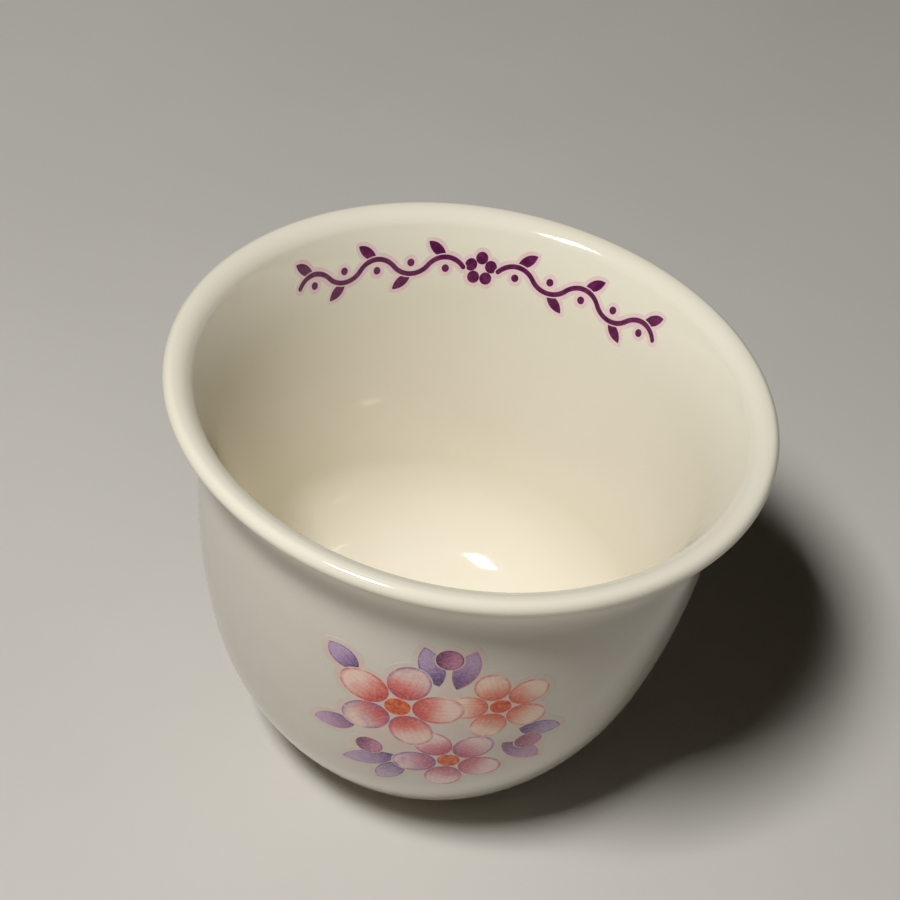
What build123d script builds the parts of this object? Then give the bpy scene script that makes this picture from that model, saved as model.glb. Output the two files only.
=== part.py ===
"""A small handleless coffee cup: fired clay, three coats of glaze, and two prints fired onto the glaze.

Millimetres, +Z up. The origin is the middle of the foot's standing ring, and the front print faces -Y.
"""

import math
import os
from collections import namedtuple

from build123d import *

os.makedirs("parts", exist_ok=True)

# Outside of the cup
rim_diameter = 66.0
cup_height = 51.0
lip_edge_round = 0.92
throat_diameter = 56.9
throat_drop = 9.5
belly_diameter = 51.0
belly_height = 19.25
heel_diameter = 34.4
heel_height = 4.25
foot_diameter = 25.0
foot_height = 1.4

# Inside of the cup
lip_roll_share = 0.48
throat_wall = 1.9
belly_wall = 2.4
floor_thickness = 5.0
floor_flat_diameter = 25.0

# Foot ring
foot_ring_width = 3.0
foot_recess = 2.5
foot_edge_round = 0.4

# Coats and films
glaze_thickness = 0.2
base_glaze_margin = 0.8
ink_thickness = 0.05
ink_clearance = 0.08
print_gap = 0.14

# Posy printed on the front
posy_turn = 5.0
posy_drop_below_throat = 14.6
posy_ground_diameter = 18.0
posy_ground_margin = 0.7
petal_count = 5
petal_fullness = 0.97
stamen_share = 0.2
leaf_width = 2.7
bud_diameter = 2.9

# Motifs of the posy, with their places and sizes in shares of its ground's radius
Blossom = namedtuple("Blossom", "x y radius turn")
coral_shares = Blossom(-0.48, 0.29, 0.77, 8.0)
peach_shares = Blossom(0.69, 0.48, 0.62, 40.0)
rose_shares = Blossom(0.24, -0.69, 0.67, -20.0)
Leaf = namedtuple("Leaf", "x y length turn")
leaf_shares = (
    Leaf(-0.06, 0.80, 0.67, 112.0),
    Leaf(0.14, 0.78, 0.69, 78.0),
    Leaf(0.98, -0.02, 0.51, -12.0),
    Leaf(0.82, -0.29, 0.69, -44.0),
    Leaf(-0.36, -0.73, 0.76, 214.0),
    Leaf(-0.29, -0.87, 0.60, 247.0),
    Leaf(-0.91, -0.27, 0.53, 206.0),
    Leaf(-1.00, 0.73, 0.47, 140.0),
)
bud_shares = ((0.0, 1.27), (1.13, -0.32), (-0.71, -0.66))

# Vine band printed inside, across from the posy
band_turn = -3.5
band_drop = 5.6
band_turns_a_side = 5
band_turn_angle = 8.4
band_wave_rise = 0.95
stem_width = 0.55
band_leaf_length = 2.7
band_leaf_width = 1.15
band_leaf_lean = 38.0
berry_diameter = 0.85
berry_hang = 1.25
band_blossom_radius = 1.9
band_blossom_turn = 90.0
halo_margin = 0.45

# Sizes that follow from those above
rim_radius = rim_diameter / 2
foot_radius = foot_diameter / 2
foot_inner_radius = foot_radius - foot_ring_width
floor_height = foot_recess + floor_thickness
throat = Vector(throat_diameter / 2, cup_height - throat_drop)
belly = Vector(belly_diameter / 2, belly_height)
heel = Vector(heel_diameter / 2, heel_height)
foot_join = Vector(foot_radius, foot_height)
inner_throat = Vector(throat.X - throat_wall, throat.Y)
floor_edge = Vector(floor_flat_diameter / 2, floor_height)
crest = Vector(rim_radius - lip_edge_round, cup_height)
lip_roll_round = (crest.X - inner_throat.X) * lip_roll_share
outward = Vector(1, 0)
upward = Vector(0, 1)
inner_rise = (upward + (crest - inner_throat).normalized()).normalized()


def left_of(direction):
    """Unit direction a quarter turn to the left of another."""
    return Vector(-direction.Y, direction.X)


def turned_along(start, end, direction):
    """Direction in which an arc that leaves start in one direction arrives at end."""
    chord = (end - start).normalized()
    return chord * (2 * chord.dot(direction)) - direction


def flare_circle(wall, rising, lip_round, side):
    """Centre and radius of a flare from the wall to a round of the lip: side is +1 outside, -1 inside."""
    across = -left_of(rising)
    span = crest - upward * lip_round - wall
    radius = (span.dot(span) - lip_round**2) / (2 * (span.dot(across) + side * lip_round))
    return wall + across * radius, radius


def lip_touch(wall, rising, lip_round, side):
    """Point where a flare that rises from the wall touches a round of the lip."""
    centre, radius = flare_circle(wall, rising, lip_round, side)
    return centre + (crest - upward * lip_round - centre).normalized() * radius


def biarc_joint(start, leaving, end, arriving):
    """Point where two arcs meet that leave start and arrive at end in the given directions."""
    span = end - start
    along = span.dot(leaving + arriving)
    opening = 2 * (1 - leaving.dot(arriving))
    reach = (math.sqrt(along**2 + opening * span.dot(span)) - along) / opening
    return (start + leaving * reach + end - arriving * reach) / 2


def surface_joints(points, direction):
    """Joints of a line of tangent arcs, each with its point and the line's direction there."""
    joints = [(points[0], direction)]
    for start, end in zip(points, points[1:]):
        direction = turned_along(start, end, direction)
        joints.append((end, direction))
    return joints


def raised(joint, height):
    """Point of a joint, raised off the clay, which lies to the right of the line."""
    point, direction = joint
    return point + left_of(direction) * height


def draw_surface(joints, height):
    """Draws the line of arcs at a height off the surface: below it where the height is negative."""
    for start, end in zip(joints, joints[1:]):
        TangentArc(raised(start, height), raised(end, height), tangent=start[1])


def coat_section(joints, low, high):
    """Section of a coat that follows a surface from one height off it to another."""
    with BuildSketch(Plane.XZ) as section:
        with BuildLine():
            draw_surface(joints, low)
            draw_surface(joints, high)
            Line(raised(joints[0], low), raised(joints[0], high))
            Line(raised(joints[-1], low), raised(joints[-1], high))
        make_face()
    return section.sketch


# Surface lines of the glazed cup, inside from the floor to the crest and outside from there to the foot
belly_direction = turned_along(throat, belly, -upward)
inner_belly = belly - left_of(belly_direction) * belly_wall
inner_belly_direction = -turned_along(inner_throat, inner_belly, -inner_rise)
knuckle = biarc_joint(floor_edge, outward, inner_belly, inner_belly_direction)
inner_lip = lip_touch(inner_throat, inner_rise, lip_roll_round, -1)
outer_lip = lip_touch(throat, upward, lip_edge_round, 1)
inner_points = (floor_edge, knuckle, inner_belly, inner_throat, inner_lip, crest)
outer_points = (crest, outer_lip, throat, belly, heel, foot_join)
inner_joints = surface_joints(inner_points, outward)
outer_joints = surface_joints(outer_points, outward)

# Fired clay body, bare on its foot ring
with BuildPart() as biscuit_body:
    with BuildSketch(Plane.XZ):
        with BuildLine():
            Polyline(
                raised(inner_joints[0], -glaze_thickness),
                (0, floor_height - glaze_thickness),
                (0, foot_recess),
                (foot_inner_radius, foot_recess),
                (foot_inner_radius, 0),
                (foot_radius, 0),
                foot_join,
                raised(outer_joints[-1], -glaze_thickness),
            )
            draw_surface(inner_joints, -glaze_thickness)
            draw_surface(outer_joints, -glaze_thickness)
        make_face()
    revolve(axis=Axis.Z)
    fillet(biscuit_body.edges().group_by(Axis.Z)[0], radius=foot_edge_round)

# Outer glaze, from the crest of the lip down to the foot
with BuildPart() as outer_glaze:
    revolve(coat_section(outer_joints, -glaze_thickness, 0), axis=Axis.Z)

# Inner glaze, from the crest of the lip down the wall and over the floor
with BuildPart() as inner_glaze:
    revolve(coat_section(inner_joints, -glaze_thickness, 0), axis=Axis.Z)
    with BuildSketch(Plane.XY.offset(floor_height)):
        Circle(floor_edge.X)
    extrude(amount=-glaze_thickness)

# Glaze island inside the foot ring
with BuildPart() as base_glaze:
    with BuildSketch(Plane.XY.offset(foot_recess)):
        Circle(foot_inner_radius - base_glaze_margin)
    extrude(amount=-glaze_thickness)


def film_shell(joints, layer):
    """Shell of one printed layer all round a surface, the first layer being number 0."""
    low = ink_clearance + layer * ink_thickness
    return revolve(coat_section(joints, low, low + ink_thickness), axis=Axis.Z)


# Shells that the printed films are cut from: a pale first layer and a second layer of colours on it
outer_first_layer = film_shell(outer_joints[1:], 0)
outer_second_layer = film_shell(outer_joints[1:], 1)
inner_first_layer = film_shell(inner_joints[1:-1], 0)
inner_second_layer = film_shell(inner_joints[1:-1], 1)


def upright_plane(angle, height, distance):
    """Upright plane at a distance from the axis, turned from facing -Y, to draw a print on."""
    facing = Vector(0, -1, 0).rotate(Axis.Z, angle)
    return Plane(
        origin=facing * distance + Vector(0, 0, height),
        x_dir=Vector(1, 0, 0).rotate(Axis.Z, angle),
        z_dir=facing,
    )


# The posy is drawn flat inside the cup and cast outward onto the front wall
posy_plane = upright_plane(posy_turn, throat.Y - posy_drop_below_throat, floor_edge.X)
posy_radius = posy_ground_diameter / 2


def in_posy(motif):
    """A blossom or leaf of the posy with its place and its radius or length in millimetres."""
    *shares, turn = motif
    return type(motif)(*(share * posy_radius for share in shares), turn)


coral_blossom = in_posy(coral_shares)
peach_blossom = in_posy(peach_shares)
rose_blossom = in_posy(rose_shares)
posy_blossoms = (coral_blossom, peach_blossom, rose_blossom)
leaves = [in_posy(leaf) for leaf in leaf_shares]
bud_places = [(x * posy_radius, y * posy_radius) for x, y in bud_shares]


def draw_petals(blossom, grow=0.0):
    """Draws a blossom's petals, which leave room for its stamens."""
    inner = blossom.radius * stamen_share + print_gap
    half_length = (blossom.radius - inner) / 2
    distance = inner + half_length
    half_width = math.tan(math.pi / petal_count) * math.sqrt(distance**2 - half_length**2) * petal_fullness
    with Locations((blossom.x, blossom.y)):
        with PolarLocations(distance, petal_count, start_angle=blossom.turn):
            Ellipse(half_length + grow, half_width + grow)


def draw_stamens(blossom, grow=0.0):
    """Draws the round of stamens in the middle of a blossom."""
    with Locations((blossom.x, blossom.y)):
        Circle(blossom.radius * stamen_share + grow)


def draw_leaf(leaf, width, grow=0.0):
    """Draws a leaf with two arcs from its stalk end to its tip."""
    ahead = outward.rotate(Axis.Z, leaf.turn)
    base = Vector(leaf.x, leaf.y) - ahead * grow
    tip = base + ahead * (leaf.length + 2 * grow)
    bulge = left_of(ahead) * (width / 2 + grow)
    middle = (base + tip) / 2
    with BuildLine() as outline:
        ThreePointArc(base, middle + bulge, tip)
        ThreePointArc(tip, middle - bulge, base)
    make_face(outline.line)


def draw_buds(grow=0.0):
    """Draws the posy's round buds."""
    with Locations(*bud_places):
        Circle(bud_diameter / 2 + grow)


def knock_out(*blossoms, buds=False):
    """Clears the place of the blossoms, and buds, that lie in front, with a gap round them."""
    with BuildSketch(mode=Mode.PRIVATE) as front:
        for blossom in blossoms:
            draw_petals(blossom, print_gap)
            draw_stamens(blossom, print_gap)
        if buds:
            draw_buds(print_gap)
    add(front.sketch, mode=Mode.SUBTRACT)


# Pale wash under the whole posy
with BuildPart() as posy_ground:
    with BuildSketch(posy_plane):
        Circle(posy_ground_diameter / 2)
        for blossom in posy_blossoms:
            draw_petals(blossom, posy_ground_margin)
        for leaf in leaves:
            draw_leaf(leaf, leaf_width, posy_ground_margin)
        draw_buds(posy_ground_margin)
    extrude(amount=rim_radius)
    add(outer_first_layer, mode=Mode.INTERSECT)

# Petals of the coral blossom, which lies in front of the others
with BuildPart() as posy_coral_petals:
    with BuildSketch(posy_plane):
        draw_petals(coral_blossom)
    extrude(amount=rim_radius)
    add(outer_second_layer, mode=Mode.INTERSECT)

# Petals of the peach blossom, behind the coral one
with BuildPart() as posy_peach_petals:
    with BuildSketch(posy_plane):
        draw_petals(peach_blossom)
        knock_out(coral_blossom)
    extrude(amount=rim_radius)
    add(outer_second_layer, mode=Mode.INTERSECT)

# Petals of the rose blossom, behind the other two
with BuildPart() as posy_rose_petals:
    with BuildSketch(posy_plane):
        draw_petals(rose_blossom)
        knock_out(coral_blossom, peach_blossom)
    extrude(amount=rim_radius)
    add(outer_second_layer, mode=Mode.INTERSECT)

# Stamens of the three blossoms
with BuildPart() as posy_stamens:
    with BuildSketch(posy_plane):
        for blossom in posy_blossoms:
            draw_stamens(blossom)
    extrude(amount=rim_radius)
    add(outer_second_layer, mode=Mode.INTERSECT)

# Buds, behind the blossoms
with BuildPart() as posy_buds:
    with BuildSketch(posy_plane):
        draw_buds()
        knock_out(*posy_blossoms)
    extrude(amount=rim_radius)
    add(outer_second_layer, mode=Mode.INTERSECT)

# Leaves, behind the blossoms and the buds
with BuildPart() as posy_leaves:
    with BuildSketch(posy_plane):
        for leaf in leaves:
            draw_leaf(leaf, leaf_width)
        knock_out(*posy_blossoms, buds=True)
    extrude(amount=rim_radius)
    add(outer_second_layer, mode=Mode.INTERSECT)

# Each turn of the vine is drawn flat, square to its own direction from the axis, and cast onto the flare
band_height = cup_height - band_drop
inner_flare_centre, inner_flare_radius = flare_circle(inner_throat, inner_rise, lip_roll_round, -1)
band_rise = band_height - inner_flare_centre.Y
band_radius = inner_flare_centre.X - math.sqrt(inner_flare_radius**2 - band_rise**2)
turn_width = 2 * band_radius * math.sin(math.radians(band_turn_angle) / 2)
band_turns = [(side, number) for side in (-1, 1) for number in range(1, band_turns_a_side + 1)]


def band_plane(side, number):
    """Plane that a turn of the vine is drawn on: it stands beyond the axis and faces it."""
    return upright_plane(-band_turn - side * number * band_turn_angle, band_height, -floor_edge.X)


def wave_crest(number):
    """Highest point of an odd turn's stem, or lowest point of an even turn's."""
    return Vector(0, band_wave_rise if number % 2 else -band_wave_rise)


def draw_stem(number, grow=0.0, mode=Mode.ADD):
    """Draws a turn's stretch of stem as an arc with round ends."""
    half = Vector(turn_width / 2, 0)
    with BuildLine() as wave:
        ThreePointArc(-half, wave_crest(number), half)
    SlotArc(wave.edge(), stem_width + 2 * grow, mode=mode)


def draw_band_leaf(side, number, grow=0.0):
    """Draws the leaf that grows from the crest of a turn, leaning away from the band's middle."""
    top = wave_crest(number)
    rise = 1 if top.Y > 0 else -1
    lean = band_leaf_lean * rise
    angle = lean if side > 0 else 180 - lean
    draw_leaf(Leaf(top.X, top.Y, band_leaf_length, angle), band_leaf_width, grow)


def draw_berry(number, grow=0.0):
    """Draws the berry that sits in the hollow of a turn."""
    top = wave_crest(number)
    rise = 1 if top.Y > 0 else -1
    with Locations(top - upward * (rise * berry_hang)):
        Circle(berry_diameter / 2 + grow)


def draw_band_blossom(grow=0.0):
    """Draws the small blossom in the middle of the band."""
    draw_petals(Blossom(0, 0, band_blossom_radius, band_blossom_turn), grow)


# Pale halo under the vine
with BuildPart() as band_halo:
    with BuildSketch(band_plane(0, 0)):
        draw_band_blossom(halo_margin)
        Circle(band_blossom_radius * stamen_share + halo_margin)
    extrude(amount=-rim_radius)
    for side, number in band_turns:
        with BuildSketch(band_plane(side, number)):
            draw_stem(number, halo_margin)
            draw_band_leaf(side, number, halo_margin)
            draw_berry(number, halo_margin)
        extrude(amount=-rim_radius)
    add(inner_first_layer, mode=Mode.INTERSECT)

# Stem of the vine
with BuildPart() as band_stem:
    for side, number in band_turns:
        with BuildSketch(band_plane(side, number)):
            draw_stem(number)
        extrude(amount=-rim_radius)
    add(inner_second_layer, mode=Mode.INTERSECT)

# Leaves of the vine
with BuildPart() as band_leaves:
    for side, number in band_turns:
        with BuildSketch(band_plane(side, number)):
            draw_band_leaf(side, number)
            draw_stem(number, print_gap, mode=Mode.SUBTRACT)
        extrude(amount=-rim_radius)
    add(inner_second_layer, mode=Mode.INTERSECT)

# Berries of the vine
with BuildPart() as band_berries:
    for side, number in band_turns:
        with BuildSketch(band_plane(side, number)):
            draw_berry(number)
            draw_stem(number, print_gap, mode=Mode.SUBTRACT)
        extrude(amount=-rim_radius)
    add(inner_second_layer, mode=Mode.INTERSECT)

# Blossom in the middle of the band
with BuildPart() as band_blossom:
    with BuildSketch(band_plane(0, 0)):
        draw_band_blossom()
    extrude(amount=-rim_radius)
    add(inner_second_layer, mode=Mode.INTERSECT)

pieces = {
    "biscuit_body": biscuit_body,
    "outer_glaze": outer_glaze,
    "inner_glaze": inner_glaze,
    "base_glaze": base_glaze,
    "posy_ground": posy_ground,
    "posy_coral_petals": posy_coral_petals,
    "posy_peach_petals": posy_peach_petals,
    "posy_rose_petals": posy_rose_petals,
    "posy_stamens": posy_stamens,
    "posy_buds": posy_buds,
    "posy_leaves": posy_leaves,
    "band_halo": band_halo,
    "band_stem": band_stem,
    "band_leaves": band_leaves,
    "band_berries": band_berries,
    "band_blossom": band_blossom,
}
for name, piece in pieces.items():
    piece.part.label = name
    export_step(piece.part, f"parts/{name}.step")
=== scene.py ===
"""A small glazed coffee cup with a printed posy outside and a printed vine inside, on a pale table.

Sizes are in millimetres and are turned into metres where a mesh is made. A point of the cup's section
is a complex number, its distance from the axis plus its height times 1j. So is a point of a print,
its place across plus its place up times 1j.
"""

import cmath
import math
from collections import namedtuple

import bpy
import numpy as np
from mathutils import Matrix, Vector
from mathutils.geometry import delaunay_2d_cdt


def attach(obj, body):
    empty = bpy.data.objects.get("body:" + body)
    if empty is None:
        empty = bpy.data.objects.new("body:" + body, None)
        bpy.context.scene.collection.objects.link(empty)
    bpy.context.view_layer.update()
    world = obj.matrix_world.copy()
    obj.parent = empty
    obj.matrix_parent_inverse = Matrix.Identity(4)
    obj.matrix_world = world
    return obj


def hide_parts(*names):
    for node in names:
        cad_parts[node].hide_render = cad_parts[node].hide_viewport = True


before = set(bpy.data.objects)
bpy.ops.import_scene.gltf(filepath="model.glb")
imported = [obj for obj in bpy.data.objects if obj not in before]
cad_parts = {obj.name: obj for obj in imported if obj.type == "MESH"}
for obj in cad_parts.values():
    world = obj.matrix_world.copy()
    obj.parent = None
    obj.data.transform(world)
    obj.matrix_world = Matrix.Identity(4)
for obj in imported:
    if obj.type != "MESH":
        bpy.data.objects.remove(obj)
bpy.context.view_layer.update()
mm = 0.001

# Outside of the cup
rim_diameter = 66.0
cup_height = 51.0
lip_edge_round = 0.92
throat_diameter = 56.9
throat_drop = 9.5
belly_diameter = 51.0
belly_height = 19.25
heel_diameter = 34.4
heel_height = 4.25
foot_diameter = 25.0
foot_height = 1.4

# Inside of the cup
lip_roll_share = 0.48
throat_wall = 1.9
belly_wall = 2.4
floor_thickness = 5.0
floor_flat_diameter = 25.0

# Foot ring
foot_ring_width = 3.0
foot_recess = 2.5
foot_edge_round = 0.4

# Coats and films
glaze_thickness = 0.2
glaze_edge_round = 0.16
base_glaze_margin = 0.8
ink_thickness = 0.02
print_gap = 0.14

# Posy printed on the front
posy_turn = 5.0
posy_drop_below_throat = 14.6
posy_ground_diameter = 18.0
posy_ground_margin = 0.7
petal_count = 5
petal_fullness = 0.97
stamen_share = 0.2
leaf_width = 2.7
bud_diameter = 2.9

# Motifs of the posy, with their places and sizes in shares of its ground's radius
Blossom = namedtuple("Blossom", "place radius turn")
Leaf = namedtuple("Leaf", "place length turn")
coral_shares = Blossom(-0.48 + 0.29j, 0.77, 8.0)
peach_shares = Blossom(0.69 + 0.48j, 0.62, 40.0)
rose_shares = Blossom(0.24 - 0.69j, 0.67, -20.0)
leaf_shares = (
    Leaf(-0.06 + 0.80j, 0.67, 112.0),
    Leaf(0.14 + 0.78j, 0.69, 78.0),
    Leaf(0.98 - 0.02j, 0.51, -12.0),
    Leaf(0.82 - 0.29j, 0.69, -44.0),
    Leaf(-0.36 - 0.73j, 0.76, 214.0),
    Leaf(-0.29 - 0.87j, 0.60, 247.0),
    Leaf(-0.91 - 0.27j, 0.53, 206.0),
    Leaf(-1.00 + 0.73j, 0.47, 140.0),
)
bud_shares = (0.0 + 1.27j, 1.13 - 0.32j, -0.71 - 0.66j)

# Vine band printed inside, across from the posy
band_turn = -3.5
band_drop = 5.6
band_turns_a_side = 5
band_turn_angle = 8.4
band_wave_rise = 0.95
stem_width = 0.55
band_leaf_length = 2.7
band_leaf_width = 1.15
band_leaf_lean = 38.0
berry_diameter = 0.85
berry_hang = 1.25
band_blossom_radius = 1.9
band_blossom_turn = 90.0
halo_margin = 0.45

# Fineness of the meshes
steps_round = 256
arc_step = math.radians(2.0)
edge_arc_step = math.radians(8.0)
longest_step = 0.8
outline_steps = 48
print_mesh_step = 0.35
meeting_reach = 0.00014

# Detail of the finishes
glaze_roughness = 0.1
glaze_cloud = 9.0
glaze_ripple = 2.5
glaze_swell_depth = 0.014
glaze_sheen = 2.0
speck_spacing = 2.6
speck_share = 0.04
clay_roughness = 0.85
clay_grain = 0.25
clay_grain_depth = 0.04
clay_rub = 1.5
clay_rub_low = 0.05
clay_rub_high = 0.5
ink_roughness = 0.16
ink_relief = 0.4
ink_relief_depth = 0.004
wash_cloud = 1.6
wash_grain = 0.3
vein_fan = 22.0
vein_sway = 5.0
table_roughness = 0.6
table_gloss = 0.2
table_cloud = 60.0

# Camera, fitted to the rim and the outline in the photo's square frame
frame_pixels = 900
rim_centre_pixel = (475.1, 385.8)
camera_depth = 286.2
camera_elevation = math.radians(40.93)
camera_roll = math.radians(10.43)
focal_length = 108.0
sensor_width = 36.0

# Light
key_place = Vector((-172.0, -250.0, 535.0))
key_size = (144.0, 90.0)
key_turn = math.radians(-30.0)
key_watts = 3.06
lamp_aim = Vector((0.0, 0.0, cup_height / 2))
fill_strength = 0.012
fill_warmth = (1.0, 0.8, 0.58)
floor_side = 700.0


# Section of the cup

def turned_along(start, end, direction):
    """Direction in which an arc that leaves start in one direction arrives at end."""
    chord = (end - start) / abs(end - start)
    return chord * chord * direction.conjugate()


def lip_touch(wall, rising, lip_round, side):
    """Point where a flare from the wall touches a round of the lip, with side +1 outside and -1 inside."""
    across = rising / 1j
    lip_centre = crest - 1j * lip_round
    span = lip_centre - wall
    radius = (abs(span) ** 2 - lip_round**2) / (2 * ((span / across).real + side * lip_round))
    centre = wall + across * radius
    return centre + (lip_centre - centre) / abs(lip_centre - centre) * radius


def biarc_joint(start, leaving, end, arriving):
    """Point where two arcs meet that leave start and arrive at end in the given directions."""
    span = end - start
    along = (span * (leaving + arriving).conjugate()).real
    opening = 2 * (1 - (leaving * arriving.conjugate()).real)
    reach = (math.sqrt(along**2 + opening * abs(span) ** 2) - along) / opening
    return (start + leaving * reach + end - arriving * reach) / 2


class Line:
    """A line of tangent arcs through some points, sampled finely, with the cup's clay on its right."""

    def __init__(self, points, direction):
        places, directions = [], []
        for start, end in zip(points, points[1:]):
            chord = end - start
            turn = 2 * cmath.phase(chord / direction)
            steps = math.ceil(max(abs(turn) / arc_step, abs(chord) / longest_step))
            share = np.arange(steps) / steps
            reached = chord * np.sin(turn * share / 2) / np.sin(turn / 2)
            places.append(start + reached * np.exp(1j * turn * (share - 1) / 2))
            directions.append(direction * np.exp(1j * turn * share))
            direction = turned_along(start, end, direction)
        self.places = np.append(np.concatenate(places), points[-1])
        self.normals = np.append(np.concatenate(directions), direction) * 1j

    def raised(self, height):
        """Points at a height off the line."""
        return self.places + self.normals * height

    def at(self, heights):
        """Points and normals of a line that rises or falls all the way, at some heights above the table."""
        order = np.argsort(self.places.imag)
        levels = self.places.imag[order]
        places, normals = self.places[order], self.normals[order]
        return np.interp(heights, levels, places), np.interp(heights, levels, normals)


rim_radius = rim_diameter / 2
foot_radius = foot_diameter / 2
foot_inner_radius = foot_radius - foot_ring_width
floor_height = foot_recess + floor_thickness
throat = complex(throat_diameter / 2, cup_height - throat_drop)
belly = complex(belly_diameter / 2, belly_height)
heel = complex(heel_diameter / 2, heel_height)
foot_join = complex(foot_radius, foot_height)
inner_throat = throat - throat_wall
floor_edge = complex(floor_flat_diameter / 2, floor_height)
crest = complex(rim_radius - lip_edge_round, cup_height)
lip_roll_round = (crest - inner_throat).real * lip_roll_share
inner_rise = cmath.exp(1j * (cmath.phase(crest - inner_throat) + math.pi / 2) / 2)
belly_direction = turned_along(throat, belly, -1j)
inner_belly = belly - 1j * belly_direction * belly_wall
inner_belly_direction = -turned_along(inner_throat, inner_belly, -inner_rise)
knuckle = biarc_joint(floor_edge, 1, inner_belly, inner_belly_direction)
inner_lip = lip_touch(inner_throat, inner_rise, lip_roll_round, -1)
inner_line = Line((floor_edge, knuckle, inner_belly, inner_throat, inner_lip, crest), 1)
outer_line = Line((crest, lip_touch(throat, 1j, lip_edge_round, 1), throat, belly, heel, foot_join), 1)
wall_line = Line((throat, belly, heel), -1j)
flare_line = Line((inner_throat, inner_lip), inner_rise)


# Meshes

def add_piece(name, points, faces, normals, material):
    """Makes a closed mesh with a normal for each corner of its faces, and puts it in its node's place."""
    mesh = bpy.data.meshes.new(name)
    mesh.from_pydata(np.asarray(points) * mm, [], faces)
    mesh.polygons.foreach_set("use_smooth", [True] * len(faces))
    mesh.normals_split_custom_set(normals)
    mesh.materials.append(material)
    piece = bpy.data.objects.new(name, mesh)
    bpy.context.scene.collection.objects.link(piece)
    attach(piece, "root")
    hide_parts(name)
    return piece


def straight(start, end):
    """A straight run of a section, with its normals to its left."""
    normal = 1j * (end - start) / abs(end - start)
    return np.array([start, end]), np.array([normal, normal])


def rounded(start, centre, turn):
    """A round run of a section that starts at a point and turns about a centre."""
    steps = math.ceil(abs(turn) / edge_arc_step)
    spokes = (start - centre) * np.exp(1j * np.linspace(0, turn, steps + 1))
    return centre + spokes, spokes / abs(start - centre) * -np.sign(turn)


def add_ring(points, place, spokes):
    """Adds a ring of points, or one point on the axis, and gives their numbers all the way round."""
    first = len(points)
    if place.real < meeting_reach:
        points.append((0, 0, place.imag))
        return [first] * steps_round
    points.extend((place.real * x, place.real * y, place.imag) for x, y in spokes)
    return list(range(first, first + steps_round))


def faces_between(last_ring, last_normals, next_ring, next_normals):
    """Faces between two rings, as the number and normal of each corner, with three corners at the axis."""
    for a in range(steps_round):
        b = (a + 1) % steps_round
        corners = [(last_ring[a], last_normals[a]), (next_ring[a], next_normals[a])]
        corners += [(next_ring[b], next_normals[b]), (last_ring[b], last_normals[b])]
        if last_ring[a] == last_ring[b]:
            corners.pop()
        if next_ring[a] == next_ring[b]:
            corners.pop(1)
        yield corners


def lathe(name, runs, material):
    """Turns a closed section, given as smooth runs of points and normals with the outside on their left."""
    angles = np.arange(steps_round) * math.tau / steps_round
    spokes = np.stack([np.cos(angles), np.sin(angles)], axis=1)
    points, faces, normals = [], [], []
    start, end = runs[0][0][0], runs[-1][0][-1]
    meets_start = abs(end - start) < meeting_reach
    first_ring = last_ring = add_ring(points, start, spokes)
    for run_number, (places, leanings) in enumerate(runs, 1):
        turned = [[(n.real * x, n.real * y, n.imag) for x, y in spokes] for n in leanings]
        for step in range(1, len(places)):
            at_end = run_number == len(runs) and step == len(places) - 1
            next_ring = first_ring if at_end and meets_start else add_ring(points, places[step], spokes)
            for corners in faces_between(last_ring, turned[step - 1], next_ring, turned[step]):
                faces.append([corner for corner, _ in corners])
                normals.extend(normal for _, normal in corners)
            last_ring = next_ring
    add_piece(name, points, faces, normals, material)


def add_biscuit(material):
    """The clay under the glaze, bare on the foot ring."""
    ring_top = complex(foot_radius, foot_edge_round)
    standing_outer = complex(foot_radius - foot_edge_round, 0)
    standing_inner = complex(foot_inner_radius + foot_edge_round, 0)
    recess_edge = complex(foot_inner_radius, foot_recess)
    inside, outside = inner_line.raised(-glaze_thickness), outer_line.raised(-glaze_thickness)
    runs = [
        straight(1j * (floor_height - glaze_thickness), inside[0]),
        (inside, inner_line.normals),
        (outside, outer_line.normals),
        straight(outside[-1], foot_join),
        straight(foot_join, ring_top),
        rounded(ring_top, ring_top - foot_edge_round, -math.pi / 2),
        straight(standing_outer, standing_inner),
        rounded(standing_inner, standing_inner + 1j * foot_edge_round, -math.pi / 2),
        straight(complex(foot_inner_radius, foot_edge_round), recess_edge),
        straight(recess_edge, 1j * foot_recess),
    ]
    lathe("biscuit_body", runs, material)


def add_outer_glaze(material):
    """The coat outside, from the crest of the lip to its rounded edge at the foot."""
    under = outer_line.raised(-glaze_thickness)
    normal = outer_line.normals[-1]
    forward = -1j * normal
    places = outer_line.places.copy()
    places[-1] -= forward * glaze_edge_round
    centre = places[-1] - normal * glaze_edge_round
    edge = rounded(places[-1], centre, -math.pi / 2)
    runs = [
        (places, outer_line.normals),
        edge,
        straight(edge[0][-1], under[-1]),
        (under[::-1], -outer_line.normals[::-1]),
        straight(under[0], places[0]),
    ]
    lathe("outer_glaze", runs, material)


def add_inner_glaze(material):
    """The coat inside, from the middle of the floor to the crest of the lip."""
    under = inner_line.raised(-glaze_thickness)
    runs = [
        straight(1j * floor_height, floor_edge),
        (inner_line.places, inner_line.normals),
        straight(inner_line.places[-1], under[-1]),
        (under[::-1], -inner_line.normals[::-1]),
        straight(under[0], 1j * (floor_height - glaze_thickness)),
    ]
    lathe("inner_glaze", runs, material)


def add_base_glaze(material):
    """The island of glaze inside the foot ring, with a rounded edge."""
    radius = foot_inner_radius - base_glaze_margin
    upper = complex(radius, foot_recess)
    lower = upper - 1j * (glaze_thickness - glaze_edge_round)
    centre = lower - glaze_edge_round
    edge = rounded(lower, centre, -math.pi / 2)
    runs = [
        straight(1j * foot_recess, upper),
        straight(upper, lower),
        edge,
        straight(edge[0][-1], 1j * (foot_recess - glaze_thickness)),
    ]
    lathe("base_glaze", runs, material)


# Prints

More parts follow.
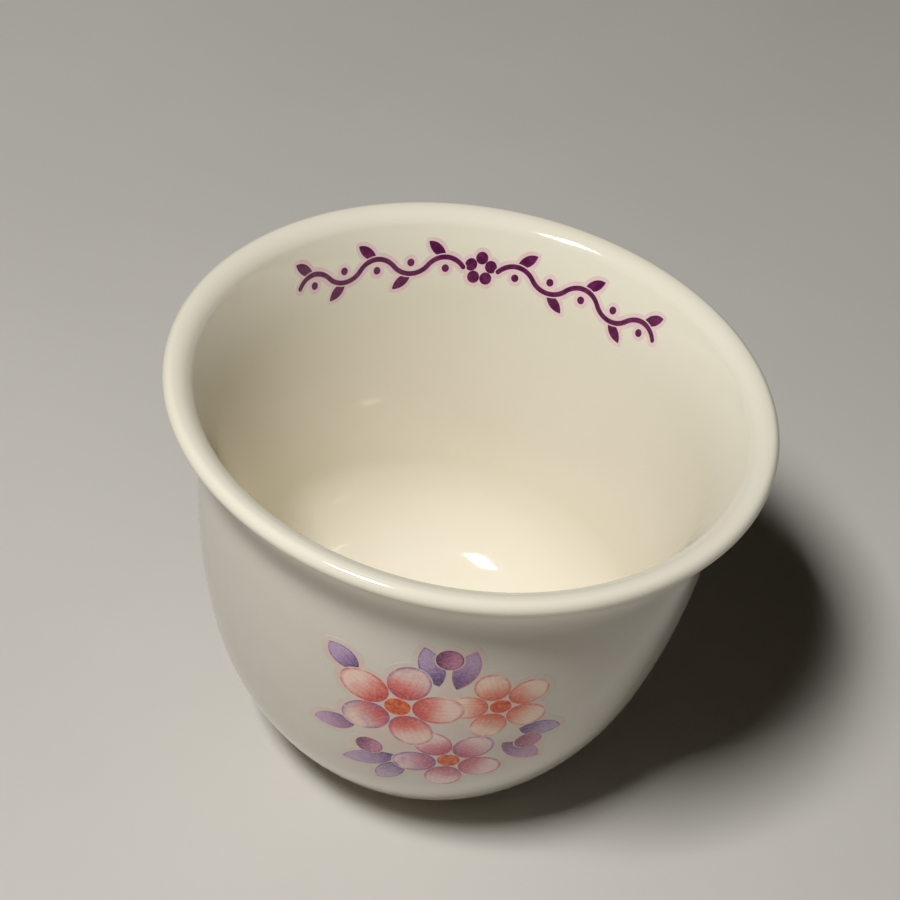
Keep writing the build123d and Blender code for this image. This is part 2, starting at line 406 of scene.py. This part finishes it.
Layer = namedtuple("Layer", "name ink motifs")
golden_share = (math.sqrt(5) - 1) / 2
posy_radius = posy_ground_diameter / 2
band_height = cup_height - band_drop
band_radius = flare_line.at(np.array([band_height]))[0][0].real


class Oval:
    """An oval motif: a petal, or a bud or berry where it is round."""

    def __init__(self, centre, ahead, half_length, half_width, tint=0.0):
        self.centre, self.ahead, self.tint = centre, ahead, tint
        self.half_length, self.half_width = half_length, half_width

    def outline(self, grow=0.0):
        """Points round the motif, grown by a margin."""
        angles = np.arange(outline_steps) * math.tau / outline_steps
        ring = np.cos(angles) * (self.half_length + grow) + 1j * np.sin(angles) * (self.half_width + grow)
        return self.centre + ring * self.ahead

    def inside(self, points):
        """Shares along and across the motif, and from its edge inward, at some points."""
        local = (points - self.centre) / self.ahead
        along, across = local.real / self.half_length, local.imag / self.half_width
        return (along + 1) / 2, across, 1 - np.hypot(along, across)


class Blade:
    """A leaf between two arcs, from its stalk end to its tip."""

    def __init__(self, base, ahead, length, width, tint=0.0):
        self.base, self.ahead, self.length, self.width, self.tint = base, ahead, length, width, tint

    def half_width(self, along, grow=0.0):
        """Half the leaf's width at some places along it, measured from its middle."""
        half, bulge = self.length / 2 + grow, self.width / 2 + grow
        radius = (half**2 + bulge**2) / (2 * bulge)
        return np.sqrt(radius**2 - along**2) - (radius - bulge)

    def outline(self, grow=0.0):
        """Points round the leaf, grown by a margin."""
        half = self.length / 2 + grow
        along = -half * np.cos(np.linspace(0, math.pi, outline_steps // 2 + 1))
        side = self.half_width(along, grow)
        ring = np.concatenate([along - 1j * side, (along + 1j * side)[-2:0:-1]])
        return self.base + self.ahead * (self.length / 2 + ring)

    def inside(self, points):
        """Shares along and across the leaf, and from its edge inward, at some points."""
        local = (points - self.base) / self.ahead
        along = np.clip(local.real / self.length, 0, 1)
        side = self.half_width(along * self.length - self.length / 2)
        across = np.clip(local.imag / np.maximum(side, print_gap), -1, 1)
        return along, across, (1 - abs(across)) * np.minimum(1, 2 * side / self.width)


class Stem:
    """A bow of the vine's stem with round ends."""

    def __init__(self, reach, rise, width, tint=0.0):
        self.reach, self.rise, self.width, self.tint = reach, rise, width, tint

    def outline(self, grow=0.0):
        """Points round the bow, grown by a margin."""
        half, rise = self.width / 2 + grow, abs(self.rise)
        radius = (self.reach**2 + rise**2) / (2 * rise)
        lean = math.asin(self.reach / radius)
        centre = 1j * (rise - radius)
        sweep = np.linspace(-lean, lean, outline_steps // 3)
        bend = np.linspace(0, math.pi, outline_steps // 4)[1:-1]
        upper = centre + 1j * (radius + half) * np.exp(1j * sweep)
        lower = centre + 1j * (radius - half) * np.exp(1j * sweep[::-1])
        left_end = centre + 1j * np.exp(1j * lean) * (radius + half * np.exp(1j * bend))
        right_end = centre + 1j * np.exp(-1j * lean) * (radius - half * np.exp(1j * bend))
        ring = np.concatenate([upper, left_end, lower, right_end])
        return ring if self.rise > 0 else ring[::-1].conjugate()

    def inside(self, points):
        """Shares along and across the bow, and from its edge inward, at some points."""
        along = points.real / self.reach
        return (along + 1) / 2, np.zeros(len(points)), np.ones(len(points))


class Placed:
    """A motif of the band, moved from the flat of its own turn onto the band's unrolled strip."""

    def __init__(self, motif, turn):
        self.motif, self.turn, self.tint = motif, turn, motif.tint

    def outline(self, grow=0.0):
        """Points round the motif on the strip."""
        flat = self.motif.outline(grow)
        radii = flare_line.at(band_height + flat.imag)[0].real
        return band_radius * (self.turn + np.arcsin(flat.real / radii)) + 1j * flat.imag

    def inside(self, points):
        """Shares along and across the motif, and from its edge inward, at points of the strip."""
        radii = flare_line.at(band_height + points.imag)[0].real
        flat = radii * np.sin(points.real / band_radius - self.turn) + 1j * points.imag
        return self.motif.inside(flat)


def tint_of(number):
    """A motif's tint from 0 to 1, spread evenly however many motifs there are."""
    return number * golden_share % 1


def petals(blossom):
    """The petals of a blossom, which leave room for its stamens."""
    inner = blossom.radius * stamen_share + print_gap
    half_length = (blossom.radius - inner) / 2
    distance = inner + half_length
    half_width = math.tan(math.pi / petal_count) * math.sqrt(distance**2 - half_length**2) * petal_fullness
    made = []
    for number in range(petal_count):
        ahead = cmath.rect(1, math.radians(blossom.turn) + number * math.tau / petal_count)
        place = blossom.place + ahead * distance
        made.append(Oval(place, ahead, half_length, half_width, tint_of(number)))
    return made


def dot(place, radius, tint=0.0):
    """A round motif."""
    return Oval(place, 1, radius, radius, tint)


def cut_out(outlines):
    """Cuts a print's outlines into triangles: their points, corners and the outlines that each lies in."""
    points, loops = [], []
    for outline in outlines:
        loops.append(list(range(len(points), len(points) + len(outline))))
        points.extend(Vector((p.real, p.imag)) for p in outline)
    low = np.min([[p.x, p.y] for p in points], axis=0)
    high = np.max([[p.x, p.y] for p in points], axis=0)
    row_step = print_mesh_step * math.sqrt(3) / 2
    for row, y in enumerate(np.arange(low[1], high[1], row_step)):
        shift = print_mesh_step / 2 * (row % 2)
        points.extend(Vector((x, y)) for x in np.arange(low[0] + shift, high[0], print_mesh_step))
    made = delaunay_2d_cdt(points, [], loops, 1, meeting_reach, True)
    return np.array([complex(p.x, p.y) for p in made[0]]), made[2], made[5]


def share_out(layers, ground, margin):
    """Cuts a print into triangles, with their motifs: its ground's, and each layer's, front layer first."""
    motifs = [(depth, motif) for depth, layer in enumerate(layers) for motif in layer.motifs]
    count = len(motifs)
    outlines = [motif.outline() for _, motif in motifs] + [motif.outline(print_gap) for _, motif in motifs]
    outlines += [motif.outline(margin) for _, motif in motifs]
    outlines += [motif.outline(margin) for motif in ground.motifs]
    points, triangles, owners = cut_out(outlines)
    films = {layer.name: [] for layer in (ground, *layers)}
    for corners, inside in zip(triangles, owners):
        if inside:
            films[ground.name].append((corners, None))
        own = [motifs[number] for number in inside if number < count]
        if own:
            depth, motif = min(own, key=lambda member: member[0])
            near = [motifs[number - count][0] for number in inside if count <= number < 2 * count]
            if depth <= min(near, default=depth):
                films[layers[depth].name].append((corners, motif))
    return points, films


def facing_out(triangles, places, normals):
    """Triangles turned so that each faces the way its surface does."""
    first, second, third = (places[triangles[:, corner]] for corner in range(3))
    facing = np.einsum("ij,ij->i", np.cross(second - first, third - first), normals[triangles[:, 0]]) > 0
    return np.where(facing[:, None], triangles, triangles[:, ::-1])


def rim_edges(triangles):
    """Edges that only one triangle has, in its own direction."""
    edges = dict.fromkeys((corners[n - 1], corners[n]) for corners in triangles.tolist() for n in (1, 2, 0))
    return [edge for edge in edges if edge[::-1] not in edges]


def mark_shares(piece, points, number, members):
    """Keeps at each point of a film the shares of its place in its motif, and the motif's tint."""
    shares = np.zeros((4, len(points)))
    for motif in dict.fromkeys(motif for _, motif in members if motif):
        mine = sorted({number[corner] for corners, owner in members if owner is motif for corner in corners})
        along, across, inward = motif.inside(points[mine])
        shares[:, mine] = [along, across, inward, np.full(len(mine), motif.tint)]
    for key, values in zip(("along", "across", "inward", "tint"), shares):
        attribute = piece.data.attributes.new(key, "FLOAT", "POINT")
        attribute.data.foreach_set("value", np.tile(values, 2).astype(np.float32))


def add_film(name, points, members, surface, layer, material):
    """A closed film of one print colour on the glaze, with its motifs' shares as attributes."""
    used = sorted({corner for corners, _ in members for corner in corners})
    count = len(used)
    number = {corner: place for place, corner in enumerate(used)}
    feet, normals = surface(points[used])
    low, high = (feet + normals * (level * ink_thickness) for level in (layer, layer + 1))
    triangles = np.array([[number[corner] for corner in corners] for corners, _ in members])
    triangles = facing_out(triangles, high, normals)
    under = triangles[:, ::-1]
    faces = triangles.tolist() + (under + count).tolist()
    corner_normals = np.concatenate([normals[triangles], -normals[under]]).reshape(-1, 3).tolist()
    for a, b in rim_edges(triangles):
        faces.append([b, a, a + count, b + count])
        side = np.cross(high[b] - high[a], normals[a])
        corner_normals.extend([(side / np.linalg.norm(side)).tolist()] * 4)
    piece = add_piece(name, np.concatenate([high, low]), faces, corner_normals, material)
    mark_shares(piece, points[used], number, members)


def add_print(layers, ground, margin, surface, inks):
    """A print in layers, front layer first, on a ground that reaches past their motifs by a margin."""
    points, films = share_out(layers, ground, margin)
    add_film(ground.name, points, films[ground.name], surface, 0, inks[ground.ink])
    for layer in layers:
        add_film(layer.name, points, films[layer.name], surface, 1, inks[layer.ink])


def round_axis(spokes, section):
    """Points or normals in space, from level spokes and points or normals of the section."""
    return spokes * section.real[:, None] + np.outer(section.imag, [0, 0, 1])


def on_wall(points):
    """Places and normals on the front of the glazed wall for points of the posy."""
    section, leaning = wall_line.at(throat.imag - posy_drop_below_throat + points.imag)
    sine, cosine = math.sin(math.radians(posy_turn)), math.cos(math.radians(posy_turn))
    depth = np.sqrt(section.real**2 - points.real**2)
    flat = np.outer(points.real, [cosine, sine, 0]) + np.outer(depth, [sine, -cosine, 0])
    spokes = flat / section.real[:, None]
    return round_axis(spokes, section), round_axis(spokes, leaning)


def on_flare(points):
    """Places and normals on the flare inside the lip for points of the band's unrolled strip."""
    section, leaning = flare_line.at(band_height + points.imag)
    angles = points.real / band_radius
    spokes = np.stack([np.sin(angles), np.cos(angles), np.zeros(len(points))], axis=1)
    return round_axis(spokes, section), round_axis(spokes, leaning)


def in_posy(motif):
    """A blossom or leaf of the posy in millimetres."""
    place, size, turn = motif
    return type(motif)(place * posy_radius, size * posy_radius, turn)


def add_posy(inks):
    """The print on the front: three blossoms, buds and leaves on a pale ground."""
    blossoms = [in_posy(shares) for shares in (coral_shares, peach_shares, rose_shares)]
    coral, peach, rose = blossoms
    leaves = []
    for number, leaf in enumerate(in_posy(shares) for shares in leaf_shares):
        ahead = cmath.rect(1, math.radians(leaf.turn))
        leaves.append(Blade(leaf.place, ahead, leaf.length, leaf_width, tint_of(number)))
    buds = [dot(place * posy_radius, bud_diameter / 2, tint_of(n)) for n, place in enumerate(bud_shares)]
    layers = [
        Layer("posy_stamens", "orange", [dot(b.place, b.radius * stamen_share) for b in blossoms]),
        Layer("posy_coral_petals", "coral", petals(coral)),
        Layer("posy_peach_petals", "peach", petals(peach)),
        Layer("posy_rose_petals", "rose", petals(rose)),
        Layer("posy_buds", "plum", buds),
        Layer("posy_leaves", "violet", leaves),
    ]
    ground = Layer("posy_ground", "blush", [dot(0j, posy_radius - posy_ground_margin)])
    add_print(layers, ground, posy_ground_margin, on_wall, inks)


def add_band(inks):
    """The print inside: a waving vine with leaves, berries and a blossom on a pale halo."""
    reach = band_radius * math.sin(math.radians(band_turn_angle) / 2)
    middle = math.radians(band_turn)
    stems, leaves, berries = [], [], []
    for side in (-1, 1):
        for number in range(1, band_turns_a_side + 1):
            turn = middle + side * number * math.radians(band_turn_angle)
            rise = 1 if number % 2 else -1
            top = 1j * rise * band_wave_rise
            lean = math.radians(band_leaf_lean) * rise
            ahead = cmath.rect(1, lean if side > 0 else math.pi - lean)
            tint = tint_of(number)
            stems.append(Placed(Stem(reach, rise * band_wave_rise, stem_width, tint), turn))
            leaves.append(Placed(Blade(top, ahead, band_leaf_length, band_leaf_width, tint), turn))
            berries.append(Placed(dot(top - 1j * rise * berry_hang, berry_diameter / 2, tint), turn))
    flower = petals(Blossom(0j, band_blossom_radius, band_blossom_turn))
    heart = Placed(dot(0j, band_blossom_radius * stamen_share), middle)
    layers = [
        Layer("band_stem", "aubergine", stems),
        Layer("band_leaves", "aubergine", leaves),
        Layer("band_berries", "aubergine", berries),
        Layer("band_blossom", "aubergine", [Placed(petal, middle) for petal in flower]),
    ]
    add_print(layers, Layer("band_halo", "halo", [heart]), halo_margin, on_flare, inks)


# Materials

def srgb(red, green, blue):
    """A colour as a shader takes it, from the values from 0 to 255 that a picture shows."""
    shares = np.array([red, green, blue]) / 255
    linear = np.where(shares <= 0.04045, shares / 12.92, ((shares + 0.055) / 1.055) ** 2.4)
    return (*linear.tolist(), 1.0)


class Finish:
    """A material with one shader, and short ways to add the nodes of its detail."""

    def __init__(self, name, roughness):
        self.material = bpy.data.materials.new(name)
        self.material.use_nodes = True
        self.tree = self.material.node_tree
        self.shader = self.tree.nodes["Principled BSDF"]
        self.shader.inputs["Roughness"].default_value = roughness
        self.place = self.node("TexCoord").outputs["Object"]

    def node(self, kind, inputs=None, **settings):
        """Adds a node, with its settings, and with its inputs set or linked."""
        made = self.tree.nodes.new("ShaderNode" + kind)
        for key, value in settings.items():
            setattr(made, key, value)
        for key, value in (inputs or {}).items():
            if isinstance(value, bpy.types.NodeSocket):
                self.tree.links.new(value, made.inputs[key])
            else:
                made.inputs[key].default_value = value
        return made

    def math(self, operation, first, second=0.0):
        """What an operation such as a sum or a product makes of two values."""
        return self.node("Math", {0: first, 1: second}, operation=operation).outputs[0]

    def noise(self, size, detail=3.0, roughness=0.5):
        """Noise from 0 to 1 with blotches of a size in millimetres."""
        inputs = {"Vector": self.place, "Scale": 1 / (size * mm), "Detail": detail, "Roughness": roughness}
        return self.node("TexNoise", inputs).outputs["Fac"]

    def spread(self, value, low, high, to_low=0.0, to_high=1.0):
        """A value moved from one range to another and kept within it, with soft ends."""
        inputs = {0: value, 1: low, 2: high, 3: to_low, 4: to_high}
        return self.node("MapRange", inputs, interpolation_type="SMOOTHSTEP").outputs[0]

    def mixed(self, share, first, second):
        """A mix of two colours."""
        return self.node("Mix", {0: share, 6: first, 7: second}, data_type="RGBA").outputs[2]

    def attribute(self, name):
        """A value that the mesh holds at its points."""
        return self.node("Attribute", attribute_name=name).outputs["Fac"]

    def bump(self, height, depth):
        """Raises and sinks the surface by a height from 0 to 1 times a depth in millimetres."""
        made = self.node("Bump", {"Height": height, "Distance": depth * mm, "Strength": 1.0})
        self.tree.links.new(made.outputs["Normal"], self.shader.inputs["Normal"])

    def use(self, key, value):
        """Links a value or colour to the shader."""
        self.tree.links.new(value, self.shader.inputs[key])


def glaze_finish(name, body):
    """Glossy glaze, painted paler towards the rim as a painted highlight on the lit lip, with faint clouds,
    a gentle swell and a few dark specks.
    """
    made = Finish(name, glaze_roughness)
    height = made.node("SeparateXYZ", {0: made.place}).outputs["Z"]
    # Painted light: from the inner throat's height up to the rim, the body colour (darker outside as painted
    # shade) is mixed into a paler colour, the lit top of the lip.
    lit_lip_share = made.spread(height, inner_throat.imag * mm, cup_height * mm)
    colour = made.mixed(lit_lip_share, body, srgb(243, 237, 216))
    cloud = made.spread(made.noise(glaze_cloud), 0.3, 0.7, 0.0, 0.12)
    colour = made.mixed(cloud, colour, srgb(244, 240, 230))
    cells = made.node("TexVoronoi", {"Vector": made.place, "Scale": 1 / (speck_spacing * mm)})
    chance = made.node("SeparateColor", {0: cells.outputs["Color"]}).outputs[0]
    rare = made.math("GREATER_THAN", chance, 1 - speck_share)
    speck = made.math("MULTIPLY", rare, made.spread(cells.outputs["Distance"], 0.015, 0.04, 0.7, 0.0))
    made.use("Base Color", made.mixed(speck, colour, srgb(150, 134, 110)))
    made.use("Roughness", made.spread(made.noise(glaze_sheen), 0.3, 0.7, 0.07, 0.12))
    ripple = made.math("MULTIPLY", made.noise(glaze_ripple, 1.0), 0.3)
    made.bump(made.math("ADD", made.noise(glaze_cloud, 1.0), ripple), glaze_swell_depth)
    return made.material


def clay_finish():
    """Bare fired clay, matt and finely grained, a little grey where it rubs on the table."""
    made = Finish("clay", clay_roughness)
    grain = made.noise(clay_grain, 4.0, 0.7)
    colour = made.mixed(made.spread(grain, 0.3, 0.7), srgb(222, 213, 194), srgb(240, 233, 217))
    height = made.node("SeparateXYZ", {0: made.place}).outputs["Z"]
    near_table = made.spread(height, clay_rub_low * mm, clay_rub_high * mm, 1.0, 0.0)
    rubbed = made.math("MULTIPLY", near_table, made.noise(clay_rub))
    made.use("Base Color", made.mixed(made.math("MULTIPLY", rubbed, 0.7), colour, srgb(168, 158, 142)))
    made.bump(grain, clay_grain_depth)
    return made.material


def wash_finish(name, deep, middle, pale, accent):
    """Petals or leaves laid in thin washes: deep at the foot, pale beyond and darker along the edge."""
    made = Finish(name, ink_roughness)
    along, across = made.attribute("along"), made.attribute("across")
    inward, tint = made.attribute("inward"), made.attribute("tint")
    cloud = made.noise(wash_cloud, 4.0, 0.6)
    reach = made.math("ADD", along, made.math("MULTIPLY", made.math("SUBTRACT", cloud, 0.5), 0.5))
    colour = made.mixed(made.spread(reach, 0.0, 0.4), deep, middle)
    colour = made.mixed(made.spread(reach, 0.25, 0.75), colour, pale)
    accent_share = made.math("MULTIPLY", made.spread(tint, 0.35, 0.9), made.spread(cloud, 0.35, 0.75))
    colour = made.mixed(made.math("MULTIPLY", accent_share, 0.65), colour, accent)
    fan = made.math("ADD", made.math("MULTIPLY", across, vein_fan), made.math("MULTIPLY", cloud, vein_sway))
    vein = made.spread(made.math("SINE", fan), 0.55, 1.0)
    colour = made.mixed(made.math("MULTIPLY", vein, made.spread(along, 0.1, 0.95, 0.3, 0.08)), colour, deep)
    edge = made.spread(inward, 0.0, 0.2, 0.85, 0.0)
    stroke = made.math("MULTIPLY", edge, made.spread(cloud, 0.35, 0.6, 0.3, 1.0))
    colour = made.mixed(stroke, colour, made.mixed(made.spread(tint, 0.2, 0.7), deep, accent))
    grain = made.spread(made.noise(wash_grain, 2.0), 0.35, 0.75, 0.0, 0.16)
    made.use("Base Color", made.mixed(grain, colour, srgb(252, 244, 236)))
    made.bump(made.noise(ink_relief), ink_relief_depth)
    return made.material


def plain_print_finish(name, dark, light, blotch):
    """A print in one colour that lies a little thinner here and there."""
    made = Finish(name, ink_roughness)
    share = made.spread(made.noise(blotch, 4.0, 0.6), 0.3, 0.75)
    made.use("Base Color", made.mixed(share, dark, light))
    made.bump(made.noise(ink_relief), ink_relief_depth)
    return made.material


def floor_finish():
    """A pale table top with hardly any figure."""
    made = Finish("table", table_roughness)
    cloud = made.spread(made.noise(table_cloud, 4.0), 0.3, 0.7)
    made.use("Base Color", made.mixed(cloud, srgb(212, 208, 200), srgb(216, 212, 204)))
    made.shader.inputs["Specular IOR Level"].default_value = table_gloss
    return made.material


def print_finishes():
    """The inks of both prints."""
    coral, rose, violet = srgb(214, 92, 84), srgb(206, 104, 122), srgb(132, 88, 150)
    return {
        "blush": plain_print_finish("blush", srgb(224, 200, 188), srgb(222, 213, 200), 2.5),
        "coral": wash_finish("coral", srgb(206, 52, 44), srgb(232, 118, 104), srgb(248, 212, 196), violet),
        "peach": wash_finish("peach", srgb(220, 90, 62), srgb(240, 158, 130), srgb(250, 224, 202), coral),
        "rose": wash_finish("rose", srgb(186, 56, 92), srgb(222, 128, 142), srgb(248, 212, 208), violet),
        "orange": plain_print_finish("orange", srgb(200, 46, 28), srgb(240, 132, 66), 0.5),
        "plum": wash_finish("plum", srgb(112, 36, 82), srgb(150, 64, 112), srgb(196, 120, 152), rose),
        "violet": wash_finish("violet", srgb(92, 58, 118), srgb(138, 100, 156), srgb(190, 158, 196), rose),
        "halo": plain_print_finish("halo", srgb(234, 204, 202), srgb(240, 219, 213), 1.5),
        "aubergine": plain_print_finish("aubergine", srgb(84, 22, 66), srgb(122, 44, 98), 0.8),
    }


# Stage

def add_floor():
    """The table that the cup stands on."""
    half = floor_side / 2 * mm
    mesh = bpy.data.meshes.new("table")
    corners = [(x * half, y * half, 0) for x, y in ((-1, -1), (1, -1), (1, 1), (-1, 1))]
    mesh.from_pydata(corners, [], [(0, 1, 2, 3)])
    mesh.materials.append(floor_finish())
    floor = bpy.data.objects.new("table", mesh)
    bpy.context.scene.collection.objects.link(floor)


def add_lamp():
    """One soft lamp, high on the left in front."""
    lamp = bpy.data.lights.new("key", "AREA")
    lamp.shape = "RECTANGLE"
    lamp.size, lamp.size_y = (side * mm for side in key_size)
    lamp.energy = key_watts
    key = bpy.data.objects.new("key", lamp)
    away = (key_place - lamp_aim).normalized()
    level = Vector((0, 0, 1)).cross(away).normalized()
    facing = Matrix((level, away.cross(level), away)).transposed() @ Matrix.Rotation(key_turn, 3, "Z")
    key.matrix_world = Matrix.Translation(key_place * mm) @ facing.to_4x4()
    bpy.context.scene.collection.objects.link(key)


def add_room():
    """A dim warm fill from all round, which the camera sees as a plain pale backdrop."""
    world = bpy.data.worlds.new("room")
    world.use_nodes = True
    tree = world.node_tree
    path = tree.nodes.new("ShaderNodeLightPath")
    tones = tree.nodes.new("ShaderNodeMix")
    tones.data_type = "RGBA"
    tones.inputs[6].default_value = [fill_strength * share for share in fill_warmth] + [1.0]
    tones.inputs[7].default_value = srgb(178, 175, 168)
    tree.links.new(path.outputs["Is Camera Ray"], tones.inputs[0])
    tree.links.new(tones.outputs[2], tree.nodes["Background"].inputs["Color"])
    bpy.context.scene.world = world


def add_camera():
    """The camera, placed so that the middle of the rim lies at its pixel in the photo."""
    back = Vector((0, -math.cos(camera_elevation), math.sin(camera_elevation)))
    level = Vector((1, 0, 0))
    upright = back.cross(level)
    right = level * math.cos(camera_roll) + upright * math.sin(camera_roll)
    up = upright * math.cos(camera_roll) - level * math.sin(camera_roll)
    focal_pixels = focal_length / sensor_width * frame_pixels
    off_right, off_down = ((pixel - frame_pixels / 2) / focal_pixels for pixel in rim_centre_pixel)
    place = Vector((0, 0, cup_height)) + (back - right * off_right + up * off_down) * camera_depth
    lens = bpy.data.cameras.new("camera")
    lens.lens = focal_length
    lens.sensor_width = sensor_width
    camera = bpy.data.objects.new("camera", lens)
    camera.matrix_world = Matrix.Translation(place * mm) @ Matrix((right, up, back)).transposed().to_4x4()
    bpy.context.scene.collection.objects.link(camera)
    bpy.context.scene.camera = camera


# Painted shade: the outer glaze gets a darker body colour than the inner glaze, though both are the same
# glaze; the base glaze shares this shaded copy.
shaded_outer_finish = glaze_finish("outer_glaze", srgb(218, 212, 199))
inner_finish = glaze_finish("inner_glaze", srgb(235, 228, 209))
inks = print_finishes()
add_biscuit(clay_finish())
add_outer_glaze(shaded_outer_finish)
add_inner_glaze(inner_finish)
add_base_glaze(shaded_outer_finish)
add_posy(inks)
add_band(inks)
add_floor()
add_lamp()
add_room()
add_camera()
bpy.context.scene.view_settings.view_transform = "Standard"
